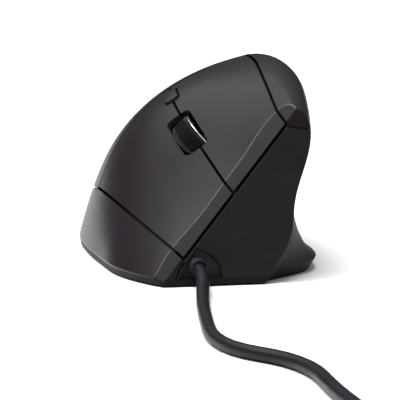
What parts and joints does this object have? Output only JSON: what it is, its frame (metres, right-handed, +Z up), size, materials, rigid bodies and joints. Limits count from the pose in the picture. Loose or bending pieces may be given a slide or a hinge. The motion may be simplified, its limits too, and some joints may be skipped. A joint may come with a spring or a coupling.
{
  "type": "vertical computer mouse",
  "caption": "Right-handed vertical corded mouse: leaning button side with ribbed wheel, thumb rest that flares into a wing, leaning front with a chamfer band, cord wound in a tied coil.",
  "frame": {"origin": "on the desk, under the middle of the housing's box (cord, coil and plug left out)", "axes": "+Z up, -Y to the front where the cord leaves, +X to the thumb side"},
  "size_m": [0.0861, 0.3711, 0.0652],
  "materials": {
    "soft_skin": "soft matte coat",
    "front_skin": "fine satin texture",
    "key_plastic": "gloss",
    "base_plastic": "fine texture",
    "foot_slide": "smooth low friction",
    "relief_rubber": "matte",
    "frame_plastic": "moulded",
    "pin_steel": "turned",
    "screw_steel": "zinc plated",
    "board_green": "solder resist",
    "tyre_rubber": "ribbed matte",
    "hub_plastic": "moulded",
    "ring_chrome": "bright plated",
    "encoder_plastic": "moulded",
    "switch_case": "moulded",
    "plunger_plastic": "moulded",
    "lens_clear": "clear moulded",
    "chip_black": "moulded",
    "header_white": "moulded",
    "lead_wire": "insulated wire",
    "cord_jacket": "satin jacket",
    "tie_strap": "matte",
    "plug_plastic": "moulded",
    "plug_steel": "nickel plated",
    "tongue_plastic": "moulded"
  },
  "bodies": {
    "housing": {"finger_shell": "soft_skin", "top_cover": "soft_skin", "thumb_shell": "front_skin", "base_plate": "base_plastic", "gland_panel": "base_plastic", "glide_front": "foot_slide", "glide_rear": "foot_slide", "glide_wing": "foot_slide", "strain_relief": "relief_rubber", "plug_boot": "relief_rubber", "inner_frame": "frame_plastic", "index_pin": "pin_steel", "middle_pin": "pin_steel", "wheel_guides": "pin_steel", "base_screws": "screw_steel", "board_screws": "screw_steel", "button_board": "board_green", "main_board": "board_green", "side_board": "board_green", "dpi_board": "board_green", "index_switch": "switch_case", "middle_switch": "switch_case", "dpi_switch": "switch_case", "forward_switch": "switch_case", "back_switch": "switch_case", "wheel_switch": "switch_case", "sensor_lens": "lens_clear", "sensor_chip": "chip_black", "control_chip": "chip_black", "lead_header": "header_white", "cord_leads": "lead_wire", "cord": "cord_jacket", "cord_coil": "cord_jacket", "cord_tail": "cord_jacket", "cord_tie": "tie_strap", "plug_body": "plug_plastic", "plug_shell": "plug_steel", "plug_tongue": "tongue_plastic"},
    "index_button": {"index_button": "soft_skin"},
    "middle_button": {"middle_button": "soft_skin"},
    "wheel_carriage": {"wheel_carriage": "frame_plastic", "wheel_encoder": "encoder_plastic"},
    "wheel": {"wheel_tyre": "tyre_rubber", "wheel_hub": "hub_plastic", "wheel_ring": "ring_chrome", "wheel_axle": "pin_steel"},
    "dpi_button": {"dpi_button": "key_plastic"},
    "forward_button": {"forward_button": "key_plastic"},
    "back_button": {"back_button": "key_plastic"},
    "index_plunger": {"index_plunger": "plunger_plastic"},
    "middle_plunger": {"middle_plunger": "plunger_plastic"},
    "wheel_plunger": {"wheel_plunger": "plunger_plastic"},
    "dpi_plunger": {"dpi_plunger": "plunger_plastic"},
    "forward_plunger": {"forward_plunger": "plunger_plastic"},
    "back_plunger": {"back_plunger": "plunger_plastic"}
  },
  "joints": [
    {"name": "index_hinge", "type": "hinge", "parent": "housing", "child": "index_button", "pos_m": [0.00811, 0.007, 0.05617], "axis": [0.6691, 0, 0.7431], "range_deg": [0, 0.6], "stiffness_Nm_per_rad": 2},
    {"name": "middle_hinge", "type": "hinge", "parent": "housing", "child": "middle_button", "pos_m": [-0.01572, 0.007, 0.03524], "axis": [0.6691, 0, 0.7431], "range_deg": [0, 0.6], "stiffness_Nm_per_rad": 2},
    {"name": "wheel_press", "type": "slide", "parent": "housing", "child": "wheel_carriage", "axis": [0.7431, 0, -0.6691], "range_m": [0, 0.0005], "stiffness_N_per_m": 600},
    {"name": "wheel_spin", "type": "hinge", "parent": "wheel_carriage", "child": "wheel", "pos_m": [-0.00048, -0.02, 0.03811], "axis": [0.6514, -0.2288, 0.7234], "continuous": true},
    {"name": "dpi_press", "type": "slide", "parent": "housing", "child": "dpi_button", "axis": [0.7431, 0, -0.6691], "range_m": [0, 0.0004], "stiffness_N_per_m": 300},
    {"name": "forward_press", "type": "slide", "parent": "housing", "child": "forward_button", "axis": [-1, 0, 0], "range_m": [0, 0.0005], "stiffness_N_per_m": 300},
    {"name": "back_press", "type": "slide", "parent": "housing", "child": "back_button", "axis": [-1, 0, 0], "range_m": [0, 0.0005], "stiffness_N_per_m": 300},
    {"name": "index_click", "type": "slide", "parent": "housing", "child": "index_plunger", "axis": [0.7431, 0, -0.6691], "range_m": [0, 0.00036]},
    {"name": "middle_click", "type": "slide", "parent": "housing", "child": "middle_plunger", "axis": [0.7431, 0, -0.6691], "range_m": [0, 0.00036]},
    {"name": "wheel_click", "type": "slide", "parent": "housing", "child": "wheel_plunger", "axis": [0.7431, 0, -0.6691], "range_m": [0, 0.00035]},
    {"name": "dpi_click", "type": "slide", "parent": "housing", "child": "dpi_plunger", "axis": [0.7431, 0, -0.6691], "range_m": [0, 0.0002]},
    {"name": "forward_click", "type": "slide", "parent": "housing", "child": "forward_plunger", "axis": [-1, 0, 0], "range_m": [0, 0.0003]},
    {"name": "back_click", "type": "slide", "parent": "housing", "child": "back_plunger", "axis": [-1, 0, 0], "range_m": [0, 0.0003]}
  ],
  "couplings": [
    {"joint": "index_click", "follows": "index_hinge", "m_per_rad": 0.034377},
    {"joint": "middle_click", "follows": "middle_hinge", "m_per_rad": 0.034377},
    {"joint": "wheel_click", "follows": "wheel_press", "ratio": 0.7},
    {"joint": "dpi_click", "follows": "dpi_press", "ratio": 0.5},
    {"joint": "forward_click", "follows": "forward_press", "ratio": 0.6},
    {"joint": "back_click", "follows": "back_press", "ratio": 0.6}
  ]
}
